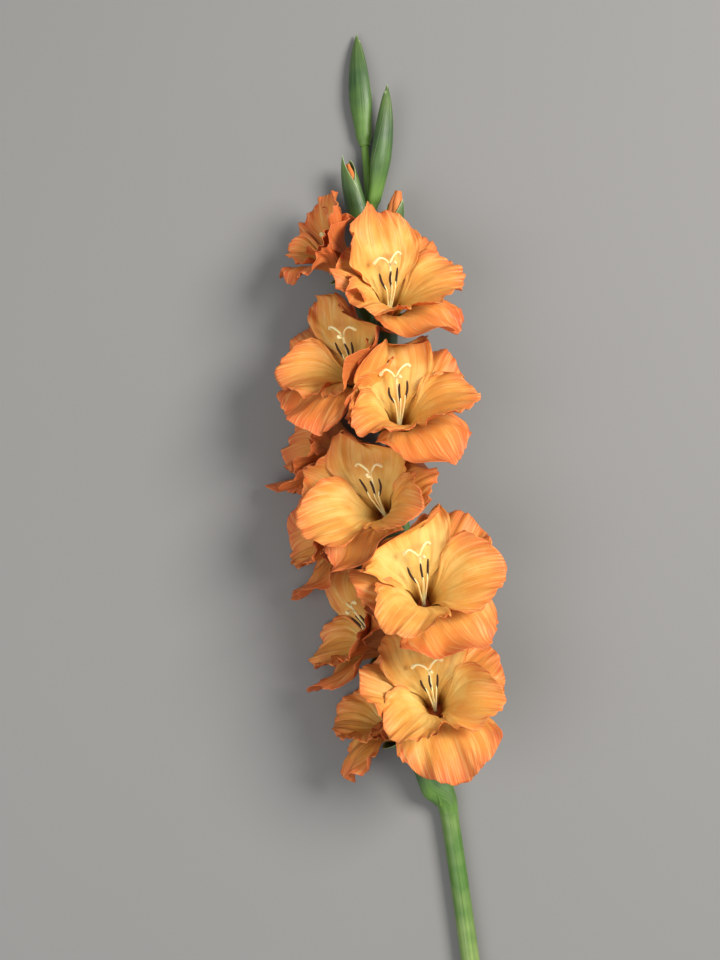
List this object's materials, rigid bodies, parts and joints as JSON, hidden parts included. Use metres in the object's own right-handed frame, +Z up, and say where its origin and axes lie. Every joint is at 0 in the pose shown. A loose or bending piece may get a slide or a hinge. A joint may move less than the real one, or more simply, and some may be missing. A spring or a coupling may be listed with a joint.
{
  "type": "gladiolus stem",
  "caption": "Cut gladiolus lying on its back: a long leafless stem with a spike of ruffled funnel-shaped orange florets in green spathes, and shut buds at its tip",
  "frame": {"origin": "On the surface that the stem lies on, under the middle of the whole object's box.", "axes": "+Z up from the surface, +Y along the stem from its cut end to the tip buds, +X to the right for someone who looks down with the tip away from them. The open florets look up and to the left and right."},
  "size_m": [0.1428, 0.7572, 0.1113],
  "materials": {
    "stem": "waxy",
    "spathe": "waxy",
    "tepals": "velvety",
    "stamens_style": "matte"
  },
  "bodies": {
    "root": {"stem": "stem", "floret_01_tepals": "tepals", "floret_01_stamens_style": "stamens_style", "floret_01_spathe": "spathe", "floret_02_tepals": "tepals", "floret_02_stamens_style": "stamens_style", "floret_02_spathe": "spathe", "floret_03_tepals": "tepals", "floret_03_stamens_style": "stamens_style", "floret_03_spathe": "spathe", "floret_04_tepals": "tepals", "floret_04_stamens_style": "stamens_style", "floret_04_spathe": "spathe", "floret_05_tepals": "tepals", "floret_05_stamens_style": "stamens_style", "floret_05_spathe": "spathe", "floret_06_tepals": "tepals", "floret_06_stamens_style": "stamens_style", "floret_06_spathe": "spathe", "floret_07_tepals": "tepals", "floret_07_stamens_style": "stamens_style", "floret_07_spathe": "spathe", "floret_08_tepals": "tepals", "floret_08_stamens_style": "stamens_style", "floret_08_spathe": "spathe", "floret_09_tepals": "tepals", "floret_09_stamens_style": "stamens_style", "floret_09_spathe": "spathe", "floret_10_tepals": "tepals", "floret_10_stamens_style": "stamens_style", "floret_10_spathe": "spathe", "floret_11_tepals": "tepals", "floret_11_stamens_style": "stamens_style", "floret_11_spathe": "spathe", "bud_12_spathe": "spathe", "bud_12_tepals": "tepals", "bud_13_spathe": "spathe", "bud_13_tepals": "tepals", "bud_14_spathe": "spathe", "bud_15_spathe": "spathe"}
  },
  "joints": []
}
